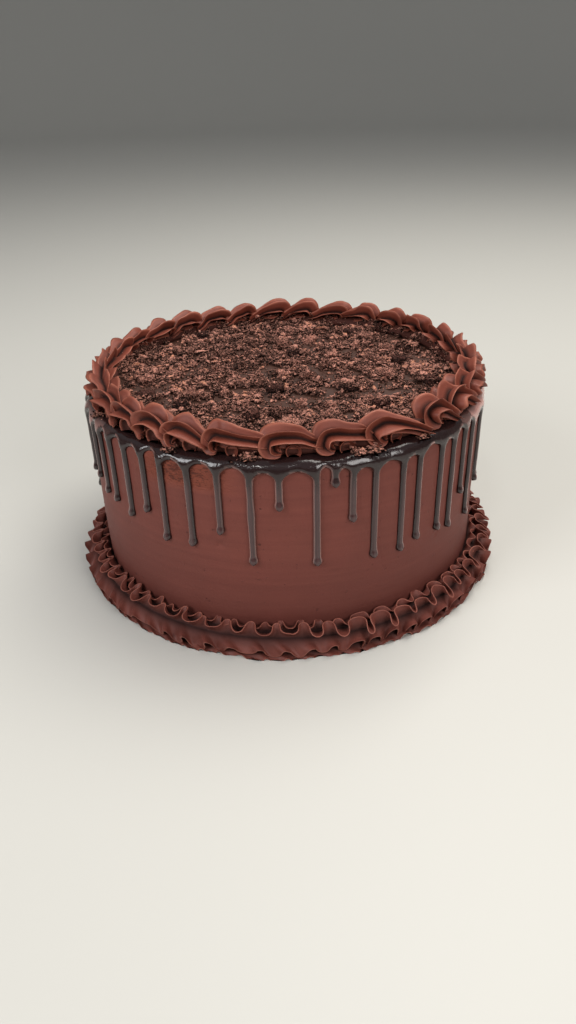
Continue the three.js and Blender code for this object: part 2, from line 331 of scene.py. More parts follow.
def wall_frosting():
    """Scraped buttercream: level streaks, soft mottling, small pits, a rough torn patch, and
    painted shade that darkens the wall towards its foot.
    """
    material, tree = new_material("wall_frosting", 0.6, Specular_IOR_Level=0.25)
    mottle, grain = buttercream(tree, 900.0)
    streak = pattern(tree, coordinates(tree, (1, 1, 26)), 14.0, 5.0, 0.6)
    pits = stretch(tree, pattern(tree, coordinates(tree), 420.0, 2.0), 0.69, 0.76)
    patch = attribute(tree, "patch")
    cracks = times(tree, patch, pattern(tree, coordinates(tree, (1, 1, 2.6)), 400.0, 4.0, 0.7))
    rise = node(tree, "ShaderNodeSeparateXYZ", {"Vector": coordinates(tree)}).outputs["Z"]
    colour = layered(
        tree, rgb(108, 56, 48),
        (stretch(tree, streak, 0.3, 0.7), rgb(117, 62, 53)),
        (stretch(tree, mottle, 0, 1, 0, 0.35), rgb(98, 54, 46)),
        (times(tree, patch, 0.6), rgb(140, 70, 48)),
        (times(tree, stretch(tree, cracks, 0.47, 0.56), 0.7), rgb(66, 30, 23)),
        (times(tree, pits, 0.5), rgb(60, 30, 24)),
        # Painted shade: darkest at 12 mm and below, fading out by 55 mm up the wall
        (stretch(tree, rise, 12 * MM, 55 * MM, 0.45, 0), rgb(78, 40, 35)),
    )
    height = times(tree, streak, 0.35)
    for relief, share in ((pits, -0.5), (grain, 0.25), (cracks, -3.2)):
        height = plus(tree, height, times(tree, relief, share))
    dress(tree, colour, height, 0.4 * MM)
    return material


def piped_frosting(name, groove, body, edge):
    """Piped buttercream, with painted shade in its grooves and a painted highlight along its thin
    ridge edges.
    """
    material, tree = new_material(name, 0.5, Specular_IOR_Level=0.26)
    mottle, grain = buttercream(tree, 1500.0)
    ridge = attribute(tree, "ridge")
    broken = stretch(tree, pattern(tree, coordinates(tree), 90.0, 3.0), 0.35, 0.6, 0.35, 1.0)
    # Painted light: the groove colour is painted shade, the edge colour a painted highlight
    colour = layered(
        tree, groove,
        (stretch(tree, ridge, 0.0, 0.42), body),
        (stretch(tree, mottle, 0, 1, 0, 0.3), groove),
        (times(tree, stretch(tree, ridge, 0.7, 1.0), broken), edge),
    )
    dress(tree, colour, grain, 0.12 * MM, dull=stretch(tree, ridge, 0.0, 0.5, 0.85, 0.48))
    return material


def glaze():
    """Ganache: near black and glossy, duller on the lid's top. Painted light: a painted reflection
    down the drips' middles, a painted highlight along their lips, and the lid's top painted
    lighter as a painted reflection.
    """
    material, tree = new_material("ganache_glaze", 0.14, Specular_IOR_Level=0.5, Coat_Weight=0.15)
    lid = attribute(tree, "lid")
    wave = pattern(tree, coordinates(tree), 260.0, 4.0)
    colour = layered(
        tree, rgb(36, 22, 22),
        # Painted reflection: lighter down each drip's middle
        (attribute(tree, "drip"), rgb(70, 46, 46)),
        # Painted highlight along the drips' lips
        (times(tree, attribute(tree, "painted_lip_highlight"), 0.7), rgb(184, 138, 130)),
        # Painted reflection: the lid's top is painted lighter
        (lid, rgb(70, 45, 36)),
    )
    dull = stretch(tree, plus(tree, lid, times(tree, wave, 0.2)), 0, 1.2, 0.12, 0.42)
    dress(tree, colour, wave, 0.35 * MM, 0.9, dull)
    return material


def crumb_material(name, dark, light, glint):
    """Cake crumb: each crumb has its own tone, which also carries painted light and shade, over a
    porous dark and light grain; the lightest tones take a painted glint.
    """
    material, tree = new_material(name, 0.6, Specular_IOR_Level=0.12)
    tone = attribute(tree, "tone")
    pores = stretch(tree, pattern(tree, coordinates(tree), 1400.0, 4.0, 0.7), 0.38, 0.66)
    share = plus(tree, times(tree, tone, 0.6), times(tree, pores, 0.7))
    colour = layered(
        tree, dark,
        (stretch(tree, share, 0.3, 0.88), light),
        # Painted glint on the lightest tones
        (stretch(tree, tone, 0.97, 1.0, 0, 0.5), glint),
    )
    dress(tree, colour, pores, 0.8 * MM)
    return material


# Cake wall


# Pits and nicks in the wall: angle, height, width and depth in mm
PITS = [
    (-17.6, 55, 1.6, 0.9), (31, 84, 2.2, 1.1), (-30, 61, 1.0, 0.4), (12, 40, 1.2, 0.35),
    (44, 42, 1.4, 0.5), (140, 60, 2, 0.6), (-120, 47, 1.5, 0.5), (100, 30, 1.6, 0.5),
]
WALL_ROWS, WALL_COLUMNS = 110, 540
BEVEL = 0.4 * MM  # between the wall and the base


def cake_wall(material):
    """The frosted cake: a profile turned about Z, its wall swayed in and out by level scraper
    marks, slow noise, a rough patch and pits, each a round dent that fades outwards."""
    shoulder = np.linspace(0, math.pi / 2, 8)
    radius = np.concatenate([
        [0, 0.6 * WALL_RADIUS, WALL_RADIUS - BEVEL], np.full(WALL_ROWS, WALL_RADIUS),
        WALL_RADIUS - EDGE_ROUND + EDGE_ROUND * np.cos(shoulder), [0.5 * WALL_RADIUS, 0],
    ])
    height = np.concatenate([
        [0, 0, 0], np.linspace(BEVEL, CAKE_TOP - EDGE_ROUND, WALL_ROWS, endpoint=False),
        CAKE_TOP - EDGE_ROUND + EDGE_ROUND * np.sin(shoulder), [CAKE_TOP, CAKE_TOP],
    ])
    angle = np.linspace(-math.pi, math.pi, WALL_COLUMNS, endpoint=False)
    turn, rise = np.meshgrid(angle, height)
    reach = np.repeat(radius[:, None], WALL_COLUMNS, 1)
    place = around(turn, reach, rise)
    on_wall = held(rise / (3 * MM)) * (reach > WALL_RADIUS - 0.5 * MM)
    level = noise(place * (1, 1, 9), 60 * MM, 1)
    slow = noise(place, 45 * MM, 2)
    patch = patch_mask(turn, rise)
    crack = rough_noise(place * (1, 1, 2), 4 * MM, 5)
    sway = (0.12 * level + 0.22 * slow - 0.3) * MM + patch * (0.45 * crack - 0.2) * MM
    for at, high, wide, deep in PITS:
        away = np.hypot(WALL_RADIUS * (turn - math.radians(at)), rise - high * MM) / (wide * MM)
        sway = sway - deep * MM * np.exp(-(away**2))
    points = around(turn, reach + on_wall * sway, rise).reshape(-1, 3)
    faces = grid_faces(len(radius), WALL_COLUMNS, close_columns=True)
    marks = {"patch": patch.ravel()}
    new_piece("cake_wall", points, faces, material, marks, ["cake"])


def patch_mask(turn, rise):
    """1 where the frosting under the lid is cracked, at the left of the front, fading to 0."""
    side = np.exp(-(((np.degrees(turn) + 27) / 13) ** 4))
    return side * held((rise - 80 * MM) / (5 * MM))


# Ganache


def drip_table():
    """Angles in radians and lengths of all drips: the front's, and seeded ones behind."""
    random = random_from(DRIP_SEED)
    first, last = FRONT_DRIPS[-1][0], FRONT_DRIPS[0][0] + 360
    pitch = (last - first) / (BACK_DRIPS + 1)
    rows = list(FRONT_DRIPS)
    for i in range(BACK_DRIPS):
        angle = first + pitch * (i + 1 + (next(random) - 0.5) * 0.4)
        rows.append((angle, 26 + 32 * next(random)))
    table = np.array(rows)
    return np.radians(table[:, 0]), table[:, 1] * MM


def on_cake(arc, path, lift):
    """Points on the cake's outside: arc along the rim, path from the top's edge over the shoulder
    and down the wall (negative inwards over the top), and lift off the surface."""
    over = np.clip(path / EDGE_ROUND, 0, math.pi / 2)
    flat = np.minimum(path, 0)
    down = np.maximum(path - EDGE_ROUND * math.pi / 2, 0)
    radius = WALL_RADIUS - EDGE_ROUND + flat + (EDGE_ROUND + lift) * np.sin(over)
    height = CAKE_TOP - EDGE_ROUND - down + (EDGE_ROUND + lift) * np.cos(over)
    return around(arc / WALL_RADIUS, np.maximum(radius, 0), height)


def ganache_skin(material):
    """The poured lid and its drips as one closed skin.

    Each drip has its own strip of columns from the middle of the window at its left to that at
    its right. Above the windows the strips meet; below, their sides follow the windows' round
    tops and then the drip's own width. Thickness rises from a window's edge as a quarter round.
    """
    angle, length = drip_table()
    count = len(angle)
    arc = angle * WALL_RADIUS
    ring = TURN * WALL_RADIUS
    right = (np.append(arc[1:], arc[0] + ring) + arc) / 2
    left = np.insert(right[:-1], 0, right[-1] - ring)
    ripple = lattice(np.arange(count), 0, 0, 21)
    side = np.sin((angle + np.append(angle[1:], angle[0] + TURN)) / 2)
    # How far down each window's top is, and how tall the arch under it
    top = (5.2 + 1.7 * np.sin(side * 1.2) + 2.2 * (ripple - 0.5)) * MM
    tall = np.clip(0.62 * (right - arc), 2.2 * MM, 6 * MM)
    top_l, tall_l = np.roll(top, 1), np.roll(tall, 1)
    # From here on arrays are by drip, row and column
    angle, size, arc, left, right, top, tall, top_l, tall_l = (
        v[:, None, None] for v in (angle, length, arc, left, right, top, tall, top_l, tall_l))

    u = np.sin(np.linspace(-1, 1, 13) * math.pi / 2)
    share = (u + 1) / 2
    ease = share * share * (3 - 2 * share)
    lid = np.array([[1, 0.72, 0.5, 0.34, 0.24, 0.17, 0.12, 0.08, 0.045, 0.02]]).T
    band = np.linspace(0, 1, 9)[:, None]
    arch = np.linspace(0, 1, 15)[1:, None] ** 1.6
    run = np.linspace(0, 1, 24)[1:, None]
    bead = np.sin(np.linspace(0, 1, 16)[1:, None] * math.pi / 2)

    q_top = top_l + (top - top_l) * ease
    arch_end = np.minimum(np.maximum(tall, tall_l) + 1 * MM, 0.45 * (size - q_top))
    bead_start = size - np.minimum(4.6 * MM, 0.45 * (size - q_top - arch_end))
    path = np.concatenate([
        np.broadcast_to(lid * (EDGE_ROUND - WALL_RADIUS), (count, len(lid), len(u))),
        band * q_top,
        q_top + arch * arch_end,
        q_top + arch_end + run * (bead_start - q_top - arch_end),
        bead_start + bead * (size - bead_start),
    ], 1)

    bulb = held((path - size + 5 * MM) / (2.6 * MM))
    along_drip = np.stack([path * 0 + arc, path, path * 0], -1)
    half = DRIP_HALF * (1 + 0.1 * noise(along_drip, 9 * MM, 8))
    half = half + 0.42 * MM * bulb * bulb * (3 - 2 * bulb)
    half = half * dome(held((path - size + half) / half))

    def window_side(depth, high):
        """How far across from the window's middle the strip's side is, as a share: 0 above the
        window, then a quarter ellipse, then 1."""
        return dome(1 - held((path - depth) / high))

    wide_l, wide_r = arc - half - left, right - arc - half
    low = left + wide_l * window_side(top_l, tall_l)
    high = right - wide_r * window_side(top, tall)
    across = low + (high - low) * share

    def clearance(offset, wide, depth, arch_height):
        """Distance from a window's edge, from the ellipse through the point."""
        rise = np.maximum(depth + arch_height - path, 0) / arch_height
        q = np.sqrt((offset / wide) ** 2 + rise**2)
        return (q - 1) * np.minimum(wide, arch_height * 1.2)

    edge = np.minimum(clearance(across - left, wide_l, top_l, tall_l),
                      clearance(right - across, wide_r, top, tall))
    edge = np.where(path <= -1 * MM, 9 * MM, edge)
    round_ = 1 - held(edge / (DRIP_HALF * 1.05))
    full = dome(round_)
    thick = np.interp(path, np.array([-4, 3, 9, 14]) * MM, np.array([2.3, 2.1, 1.75, 1.5]) * MM)
    thick = thick + 0.75 * MM * bulb
    place = on_cake(across, path, 0)
    wavy = np.exp(-(((path - 2 * MM) / (6 * MM)) ** 2))
    thick = thick + (0.12 * (path > 0) + 0.45 * wavy) * MM * rough_noise(place, 9 * MM, 4, 2)
    thick = thick + 0.25 * MM * noise(place, 16 * MM, 6) * (path < -6 * MM)
    lift = -EMBED + (thick + EMBED) * full

    front, back = on_cake(across, path, lift), on_cake(across, path, -EMBED)
    rows, columns = path.shape[1:]
    strip = repeat_faces(grid_faces(rows, columns), count, rows * columns)
    points = np.concatenate([front, back]).reshape(-1, 3)
    faces = np.concatenate([strip, strip[:, ::-1] + path.size])
    marks = {
        # Painted reflection: the lid's top is painted lighter
        "lid": held(1 - (path + 12 * MM) / (10 * MM)),
        # Painted reflection down each drip's middle
        "drip": full**5 * held((path - 9 * MM) / (8 * MM)),
    }
    # A drip gets a painted highlight in a line along its outer side, nearer its crown the more it
    # stands aside; one in front gets it along both sides. Slope: 0 on the crown, 1 at the outer
    # edge, -1 at the inner
    aside = np.sin(angle)
    slope = round_ * np.sign(u) * np.where(aside < 0, -1, 1)
    highlight_at = np.maximum(np.cos(1.29 * np.arcsin(np.abs(aside))) - 0.14, 0.05)
    outer_highlight = (1 + 0.6 * held(aside)) * np.exp(-(((slope - highlight_at) / 0.16) ** 2))
    in_front = held(1 - 2.5 * np.abs(aside))
    line = outer_highlight + in_front * np.exp(-(((slope + highlight_at) / 0.14) ** 2))
    marks["painted_lip_highlight"] = line * held((path - 1 * MM) / (3 * MM))
    marks = {key: np.tile(mark.ravel(), 2) for key, mark in marks.items()}
    new_piece("ganache_skin", points, faces, material, marks, ["ganache"])


# Piped shells


def shell_angles():
    """Where the shells' left edges stand, in degrees: those of the front, then evenly behind."""
    first = FRONT_SHELLS[-1]
    rest = SHELLS - len(FRONT_SHELLS)
    pitch = (FRONT_SHELLS[0] + 360 - first) / (rest + 1)
    random = random_from(SHELL_SEED)
    back = [first + pitch * (i + 1 + (next(random) - 0.5) * 0.16) for i in range(rest)]
    return np.array(FRONT_SHELLS + back)


# One shell's strand, station by station: share of its way; turn of its section in degrees (270 is
# down, 180 back along the ring, 90 up); then in mm its hinge along the ring and above the lid, how
# far its middle stands off the hinge, its half sizes off the hinge and sideways, its shift towards
# the rim, and its reach behind the hinge
STRAND = np.array([
    [0.00, 268, 9.6, 3.6, 0.6, 1.2, 1.2, 7.0, 0.3],
    [0.10, 238, 9.2, 4.2, 1.8, 3.4, 2.8, 6.0, 0.6],
    [0.24, 200, 9.2, 4.8, 2.3, 6.0, 5.8, 3.4, 0.8],
    [0.38, 160, 9.2, 4.8, 2.6, 7.0, 8.2, 1.4, 1.0],
    [0.52, 120, 9.4, 4.6, 2.6, 7.2, 9.3, 0.2, 1.6],
    [0.66, 93, 11.5, 4.4, 2.4, 7.0, 9.3, 0.0, 3.6],
    [0.80, 87, 17.0, 4.6, 1.8, 5.5, 7.2, 0.0, 4.6],
    [0.92, 84, 22.5, 5.0, 1.0, 4.4, 5.4, 0.3, 5.0],
    [1.00, 82, 27.0, 4.6, 0.2, 3.2, 3.8, 0.6, 4.6],
])
# The section's ridges, by their reach as a share of the strand's, the first just outside the crest
RIDGE_REACH = np.array([1.0, 1.0, 0.68, 0.6, 0.65, 0.95, 1.0])
FIRST_RIDGE = math.radians(25)
# A groove's bottom, as a share of the strand's reach: deeper where the section faces inwards
GROOVE = np.array([0.32, 0.32, 0.3, 0.3, 0.3, 0.24, 0.2])
# Points of half a lobe, from its ridge (0) to the groove (1)
HALF_LOBE = np.array([0, 0.06, 0.15, 0.3, 0.5, 0.75, 1.0])


def star_profile():
    """The strand's section: angles from the crest, shares of the strand's reach, and from 0 in a
    groove to 1 on a ridge, which falls off steeply at first and then ever more slowly."""
    lobe = np.concatenate([-HALF_LOBE[:0:-1], HALF_LOBE[:-1]])
    count = len(RIDGE_REACH)
    step = TURN / count
    angle = (np.arange(count)[:, None] * step + lobe * step / 2).ravel() + FIRST_RIDGE
    ridge = (1 - np.abs(lobe)) ** 2.8
    reach = GROOVE[:, None] + (RIDGE_REACH - GROOVE)[:, None] * ridge
    return angle, reach.ravel(), np.tile(ridge, count)


# How the shells' tails run at angles round the ring: how far they sway outwards and drop, in mm
TAILS = np.array([
    [-70, 1.5, 2.5], [-58, 2.2, 3.0], [-30, 2.0, 3.0], [-22, 0.8, 1.2], [-7, 1.0, 2.0],
    [6, 1.2, 2.4], [20, 7.6, 5.6], [120, 6.6, 5.0], [138, 0.5, 1.5], [150, -3.5, 2.0],
    [164, -5.4, 2.8], [198, -5.4, 2.8], [212, -3.5, 2.0], [228, 0.5, 1.0], [280, 0.5, 1.0],
    [290, 1.5, 2.5],
])


def tail_run(angle):
    """How far the tail of a shell at this angle sways and drops, in mm."""
    turn = (np.degrees(angle) + 70) % 360 - 70
    return np.interp(turn, TAILS[:, 0], TAILS[:, 1]), np.interp(turn, TAILS[:, 0], TAILS[:, 2])


def shell_core():
    """The low, uneven bead that fills the ring behind the shells' hooks: an oval section that is
    swayed by noise and flattened on the lid."""
    turn = full_turn(480)[:, None]
    lean = full_turn(16)[None]
    place = around(turn, SHELL_RING + 0 * lean, 0 * lean)
    sway = noise(place, 9 * MM, 33)
    radius = SHELL_RING - 0.6 * MM + (4.6 + sway) * MM * np.cos(lean)
    height = np.maximum((1.6 + (3.6 + 0.8 * sway) * np.sin(lean)) * MM, 0)
    points = around(turn + 0 * lean, radius, SHELL_BASE + height).reshape(-1, 3)
    return points, grid_faces(*radius.shape, close_rows=True, close_columns=True)


def shell_curls(heads):
    """Small cupped curls that look out from under the shells, one each: a ball that is squeezed
    and hollowed on its outer side, with a painted highlight on the rim round the hollow and
    painted shade inside it."""
    points, faces = ball(3)
    draw = np.random.default_rng(SHELL_SEED + 1).random((len(heads), 6))[:, None]
    along, up, out = points[None].transpose(2, 0, 1)
    cup = held((out - 0.25 + 0.2 * along) / 0.75)
    size = (0.95 + 0.5 * draw[..., 0]) * MM
    step = heads[:, None] + (14.6 + 2.4 * (draw[..., 1] - 0.5)) * MM
    step = step + 2.7 * size * along * (1 + 0.2 * up)
    side = (4.6 + 0.8 * draw[..., 2]) * MM + 2.0 * size * (out - 1.9 * cup**0.8)
    side = side + 0.9 * size * along * (draw[..., 3] - 0.3)
    height = np.maximum((1.4 + 0.8 * draw[..., 4]) * MM + 3.1 * size * up, 0)
    placed = around(step / SHELL_RING, SHELL_RING + side, SHELL_BASE + height)
    # Painted light: a highlight on the rim round the hollow, painted shade inside the hollow
    rim = np.exp(-(((out - 0.22 + 0.2 * along) / 0.13) ** 2))
    ridge = rim * 0.9 + 0.45 * (cup == 0) + 0.2 * cup
    faces = repeat_faces(faces, len(heads), len(points))
    return placed.reshape(-1, 3), faces, np.broadcast_to(ridge, placed.shape[:2]).ravel()


def top_border(material):
    """The ring of shells. Each is a strand of star section that fans about a hinge line across the
    ring, from its foot at the rim, back and up and over, and then runs on as a narrowing tail.

    A point of the section lies `out` off the hinge in the direction of the turn, and `side`
    across it; its ridges so become nested hooks.
    """
    heads = np.radians(shell_angles()) * SHELL_RING
    ring = TURN * SHELL_RING
    pitch = np.append(heads[1:], heads[0] + ring) - heads
    sway, drop = tail_run(heads / SHELL_RING)
    draw = np.random.default_rng(SHELL_SEED).random((len(STRAND), SHELLS, 8)) - 0.5
    size = 1 + 0.05 * np.maximum(np.sin(heads / SHELL_RING), 0) + 0.09 * draw[0, :, 7]
    keys = np.repeat(STRAND[:, None, 1:], SHELLS, 1)
    keys[..., 1:] *= size[:, None]
    tail = held((STRAND[:, 2] - 10) / 14)[:, None]
    keys[..., 1] += tail * (pitch / MM - 20)
    keys[..., 1] -= tail**2 * np.maximum(sway, 0) * 0.55
    keys[..., 2] -= tail**2 * drop
    keys[..., 6] += tail**2 * sway
    keys[..., 0] += 12 * draw[..., 0] + 10 * draw[0, :, 6]
    keys[..., 1] += 1.4 * draw[..., 1]
    keys[..., 2] += 0.6 * draw[..., 2]
    keys[..., 4:6] *= 1 + 0.16 * draw[..., 4:6]
    keys[..., 6] += 1.2 * draw[..., 3]

    steps = 38
    when = np.linspace(0, 1, steps) ** 0.92
    values = smooth_through(STRAND[:, 0], keys.reshape(len(STRAND), -1), when)
    values = values.reshape(steps, SHELLS, 8)
    turn = np.radians(values[..., 0, None])
    along, lift, off, deep, wide, shift, behind = (values[..., k, None] * MM for k in range(1, 8))
    closed = np.ones((steps, 1, 1))
    closed[[0, -1]] = 0
    lean, reach, ridge = star_profile()
    phase = TURN * draw[0, :, 5, None]
    late = when[:, None, None]
    curl = ridge * (0.12 + 0.08 * np.sin(9 * late + 3 * lean + phase))
    angle = lean + curl + math.radians(9) * draw[1, :, 5, None]
    share = reach * closed * (1 + 0.05 * ridge * np.sin(16 * late + 5 * lean + 2 * phase))
    out = np.maximum(off + deep * share * np.cos(angle), -behind)
    side = shift + wide * share * np.sin(angle)
    step = heads[:, None] + along + out * np.cos(turn)
    height = np.maximum(lift + out * np.sin(turn), 0)
    points = around(step / SHELL_RING, SHELL_RING + side, SHELL_BASE + height)
    points = points.transpose(1, 0, 2, 3)
    flat = points.reshape(-1, 3)
    uneven = 0.3 * MM * rough_noise(flat, 8 * MM, 12) + 0.07 * MM * noise(flat, 1.4 * MM, 14)
    raised = flat[:, 2:] > LID_TOP + 0.2 * MM
    flat = flat + raised * uneven[:, None] * (0.6, 0.6, 0.7)
    flat[:, 2] = np.minimum(flat[:, 2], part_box("top_border")[1].z)
    one = grid_faces(steps, len(lean), close_columns=True)
    faces = repeat_faces(one, SHELLS, steps * len(lean))
    ridges = np.broadcast_to(ridge, points.shape[:3]).ravel()
    core_points, core_faces = shell_core()
    curl_points, curl_faces, curl_ridges = shell_curls(heads)
    curl_faces = curl_faces + len(core_points)
    faces = np.concatenate([faces, core_faces + len(flat), curl_faces + len(flat)])
    flat = np.concatenate([flat, core_points, curl_points])
    # The core's low ridge mark paints it dark, as painted shade behind the shells' hooks
    marks = {"ridge": np.concatenate([ridges, np.full(len(core_points), 0.12), curl_ridges])}
    new_piece("top_border_shells", flat, faces, material, marks, ["top_border"])


# Ruffled strand round the foot


# Fins of the foot strand: root and edge, each outwards from the wall and up, in mm; then at the
# left and at the right the ruffle's wave length, the swing of its heading in radians, the droop of
# its outward folds, how far its edge hangs outwards and how far it slants along the ring; its seed
FINS = [
    ((1.4, 10.4), (2.3, 13.4), (9.0, 10.5), (1.3, 1.3), (0.0, 0.0), (0.0, 0.3), (0.0, 1.0), 37),
    ((5.0, 8.8), (6.3, 14.2), (11.0, 11.8), (1.5, 1.75), (0.15, 0.6), (0.0, 1.6), (0.0, -2.5), 41),
    ((6.4, 7.4), (12.9, 4.2), (12.0, 12.4), (1.35, 1.7), (0.1, 0.2), (0.0, -0.6), (5.0, -3.0), 57),
    ((8.6, 1.3), (12.7, 0.3), (11.5, 11.0), (0.9, 1.1), (0.0, 0.0), (0.0, 0.0), (4.0, 0.0), 63),
]
# Points of a fin as shares of its way from root to edge, and how light each is painted:
# painted shade at the root, a painted highlight at the edge
FIN_SHARES = np.array([0, 0.3, 0.58, 0.84, 0.97, 1.0])
FIN_RIDGE = np.array([0, 0.2, 0.34, 0.5, 0.66, 1.0])
FOOT_STEPS = 1900
FOOT_LINE = 8 * MM  # how far off the wall the fins' waves are measured
WIDEST_SWING = 1.82  # a ruffle's edge that swings further would run into itself


def right_half(turn):
    """1 on the right side, where the folds are large and slant, and 0 elsewhere."""
    angle = np.degrees(turn) % 360
    return held((angle + 4) / 22) * held((150 - angle) / 30)


def left_to_right(pair, right):
    """A value that goes from the pair's first on the left to its second on the right."""
    return pair[0] + (pair[1] - pair[0]) * right


def ruffle(turn, radius, waves, swings, seed):
    """The edge of a ruffle, as a sine-generated curve: its heading swings to and fro once a wave.
    One of its bends is wide and the other tight, by a warp of the wave's phase. Where the two
    are alike the heading swings less, so that no round loops form.

    Returns the edge's offsets along and across, in metres, and its heading.
    """
    right = right_half(turn)
    circle = on_circle(turn)
    loose = rough_noise(circle, 0.13, seed, 2)
    wave = left_to_right(waves, right) * MM * (1 + 0.28 * np.tanh(1.5 * loose))
    d = radius * (turn[1] - turn[0])
    phase = np.cumsum(TURN * d / wave)
    phase = phase * (TURN * round(phase[-1] / TURN) / phase[-1])
    uneven = 1 + 0.2 * np.tanh(2 * rough_noise(circle, 0.1, seed + 5, 2))
    swing = np.minimum(left_to_right(swings, right) * uneven, WIDEST_SWING)
    warp = 0.55 * (1 - 1.8 * right) + 0.35 * noise(circle, 0.12, seed + 9)
    swing = swing * (0.8 + 0.2 * held(np.abs(warp) / 0.4))
    heading = lambda p: -swing * np.sin(p - warp * np.sin(p))
    sample = full_turn(48)[:, None]
    gain = d / np.cos(heading(sample)).mean(0)
    now = heading(phase)
    along = np.cumsum(np.cos(now) * gain)
    along = along - (turn - turn[0]) * along[-1] / (turn[-1] - turn[0])
    across = np.cumsum(np.sin(now) * gain)
    width = int(wave.mean() / d)
    ends = np.concatenate([across[-width:] - across[-1], across, across[:width] + across[-1]])
    middle = np.convolve(ends, np.ones(width) / width, "same")[width:-width]
    return along, across - middle, now


def foot_border(material):
    """The foot strand: a core with thin fins, of which the upper two stand up and loop to the
    wall and back, the third slopes out to the base, and a short skirt closes it below.

    A fin's ruffle grows from a straight root to its edge, and its two faces stand half its
    thickness off that sheet.
    """
    radius = WALL_RADIUS + FOOT_LINE
    turn = full_turn(FOOT_STEPS)
    circle = on_circle(turn)
    right = right_half(turn)[:, None]
    slow = rough_noise(circle, 0.3, 60, 2)[:, None] * MM
    s = FIN_SHARES[None]
    grow = s**1.4
    columns, ridges = [], []

    def line(out, up):
        """A straight line round the cake, by its distance off the wall and its height, in mm."""
        column = np.stack([turn * radius, out * MM + 0 * turn, up * MM + 0 * turn], -1)
        columns.append(column[:, None])
        # The strand's lines at the wall and the base are painted in groove shade
        ridges.append(np.zeros(1))

    line(-0.2, 0)
    line(-0.2, 10.5)
    for root, edge, wave, swing, droop, hang, slant, seed in FINS:
        along, across, heading = (v[:, None] for v in ruffle(turn, radius, wave, swing, seed))
        root, edge = np.array(root) * MM, np.array(edge) * MM
        way = edge - root
        normal = np.array([way[1], -way[0]]) / np.hypot(*way)
        loose = [rough_noise(circle, 0.09, seed + k, 2)[:, None] * MM for k in (11, 13)]
        out = root[0] + way[0] * s + slow * 0.5 + normal[0] * across * grow
        out = out + (left_to_right(hang, right) * MM + 0.8 * loose[0]) * s
        up = root[1] + way[1] * s + slow * 0.4 + normal[1] * across * grow + 0.9 * loose[1] * s
        up = up - left_to_right(droop, right) * np.maximum(across, 0) * grow
        along = along + left_to_right(slant, right) * MM
        half = (1.3 - 1.06 * s**0.5) * MM
        lean = heading * grow
        for side in (-1, 1):
            offset = side * half
            face = np.stack([
                turn[:, None] * radius + along * grow - offset * np.sin(lean),
                out + normal[0] * offset * np.cos(lean),
                up + normal[1] * offset * np.cos(lean),
            ], -1)
            columns.append(face[:, ::-side])
            ridges.append(FIN_RIDGE[::-side])
    line(9.0, 0)
    local = np.concatenate(columns, 1)
    reach = np.clip(local[..., 1], -0.2 * MM, FOOT_RADIUS - WALL_RADIUS)
    points = around(local[..., 0] / radius, WALL_RADIUS + reach, np.maximum(local[..., 2], 0))
    flat = points.reshape(-1, 3)
    uneven = 0.3 * MM * rough_noise(flat, 5 * MM, 71)
    raised = flat[:, 2:] > 0.5 * MM
    flat = flat + raised * uneven[:, None] * (0.4, 0.4, 0.6)
    marks = {"ridge": np.broadcast_to(np.concatenate(ridges), local.shape[:2]).ravel()}
    faces = grid_faces(*local.shape[:2], close_rows=True, close_columns=True)
    new_piece("foot_border_ruffle", flat, faces, material, marks, ["foot_border"])


# Crumbs


def ball(level):
    """Points and triangles of an evenly divided ball of radius 1."""
    golden = (1 + math.sqrt(5)) / 2
    flat = [(a, b * golden, 0) for a in (-1, 1) for b in (-1, 1)]
    points = np.array(flat + [(0, x, y) for x, y, _ in flat] + [(y, 0, x) for x, y, _ in flat])
    reach = np.linalg.norm(points[:, None] - points[None], axis=2)
    near = (reach > 0.1) & (reach < 2.1)
    faces = np.array([(i, j, k) for i in range(12) for j in range(i) for k in range(j)
                      if near[i, j] and near[j, k] and near[i, k]])
    points = points / np.linalg.norm(points[0])
    for _ in range(level):
        corner = points[faces]
        middle = (corner + np.roll(corner, -1, 1)) / 2
        middle = middle / np.linalg.norm(middle, axis=2, keepdims=True)
        (a, b, c), (d, e, f) = corner.transpose(1, 0, 2), middle.transpose(1, 0, 2)
        parts = [(a, d, f), (d, b, e), (f, e, c), (d, e, f)]
        points = np.concatenate([np.stack(p, 1) for p in parts]).reshape(-1, 3)
        kept, faces = weld(points, np.arange(len(points)).reshape(-1, 3))
        points = points[kept]
    corner = points[faces]
    outward = np.cross(corner[:, 1] - corner[:, 0], corner[:, 2] - corner[:, 0])
    inward = np.einsum("ij,ij->i", outward, corner.mean(1)) < 0
    faces[inward] = faces[inward][:, ::-1]
    return points, faces


